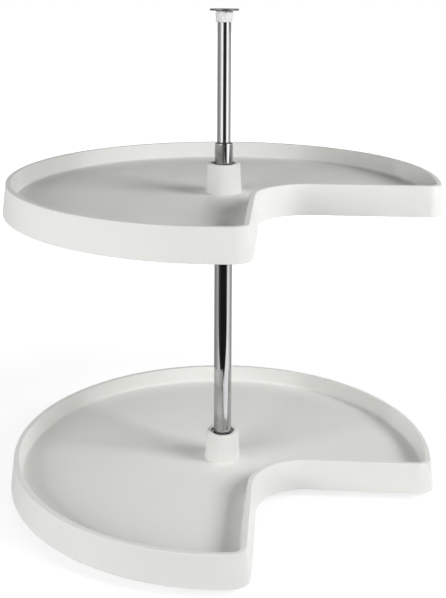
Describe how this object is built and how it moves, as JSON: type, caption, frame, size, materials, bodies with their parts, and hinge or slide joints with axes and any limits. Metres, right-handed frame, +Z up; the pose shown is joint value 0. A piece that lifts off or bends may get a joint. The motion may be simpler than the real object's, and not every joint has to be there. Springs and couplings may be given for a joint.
{
  "type": "kidney shelf carousel",
  "caption": "Corner cabinet carousel: white kidney-shaped trays with raised rims that turn on a chromed telescoping post between a floor flange and a ceiling flange.",
  "frame": {"origin": "on the post's axis, at the underside of the floor flange, where the carousel stands on the cabinet's floor", "axes": "+Z up along the post; the trays' cut-out faces +X and -Y, with one straight wall along +X and the other along -Y"},
  "size_m": [0.61, 0.61, 0.684],
  "materials": {
    "white_polymer": "moulded white polymer, fine satin grain",
    "natural_nylon": "moulded natural nylon, slightly waxy",
    "grey_nylon": "moulded grey nylon",
    "chrome": "bright chrome plate",
    "zinc_steel": "zinc-plated steel",
    "dark_steel": "dark polished steel"
  },
  "bodies": {
    "floor_bracket": {"bottom_flange": "zinc_steel", "bottom_pivot_pin": "zinc_steel", "bottom_thrust_washer": "natural_nylon"},
    "outer_post": {"bottom_plug": "grey_nylon", "outer_tube": "chrome", "guide_bush": "grey_nylon"},
    "lower_carrier": {"lower_collar": "zinc_steel", "lower_collar_screw": "dark_steel", "lower_thrust_washer": "natural_nylon"},
    "lower_shelf": {"lower_tray": "white_polymer", "lower_hub_sleeve": "natural_nylon", "lower_hub_ring": "dark_steel"},
    "upper_carrier": {"upper_collar": "zinc_steel", "upper_collar_screw": "dark_steel", "upper_thrust_washer": "natural_nylon"},
    "upper_shelf": {"upper_tray": "white_polymer", "upper_hub_sleeve": "natural_nylon", "upper_hub_ring": "dark_steel"},
    "lock_carriage": {"lock_cam": "grey_nylon"},
    "inner_post": {"inner_tube": "chrome", "lock_stud": "zinc_steel", "lock_screw": "dark_steel", "top_bush": "natural_nylon"},
    "ceiling_bracket": {"top_flange": "chrome", "top_pivot_pin": "zinc_steel"}
  },
  "joints": [
    {"name": "post_swivel", "type": "hinge", "parent": "floor_bracket", "child": "outer_post", "pos_m": [0, 0, 0], "axis": [0, 0, 1], "continuous": true},
    {"name": "lower_collar_slide", "type": "slide", "parent": "outer_post", "child": "lower_carrier", "axis": [0, 0, 1], "range_m": [0, 0.12]},
    {"name": "lower_tray_spin", "type": "hinge", "parent": "lower_carrier", "child": "lower_shelf", "pos_m": [0, 0, 0], "axis": [0, 0, 1], "continuous": true},
    {"name": "upper_collar_slide", "type": "slide", "parent": "outer_post", "child": "upper_carrier", "axis": [0, 0, 1], "range_m": [-0.15, 0.02]},
    {"name": "upper_tray_spin", "type": "hinge", "parent": "upper_carrier", "child": "upper_shelf", "pos_m": [0, 0, 0], "axis": [0, 0, 1], "continuous": true},
    {"name": "tube_slide", "type": "slide", "parent": "outer_post", "child": "lock_carriage", "axis": [0, 0, 1], "range_m": [-0.02, 0.105]},
    {"name": "tube_twist", "type": "hinge", "parent": "lock_carriage", "child": "inner_post", "pos_m": [0, 0, 0], "axis": [0, 0, 1], "range_deg": [0, 22]},
    {"name": "top_swivel", "type": "hinge", "parent": "inner_post", "child": "ceiling_bracket", "pos_m": [0, 0, 0], "axis": [0, 0, 1], "continuous": true}
  ]
}
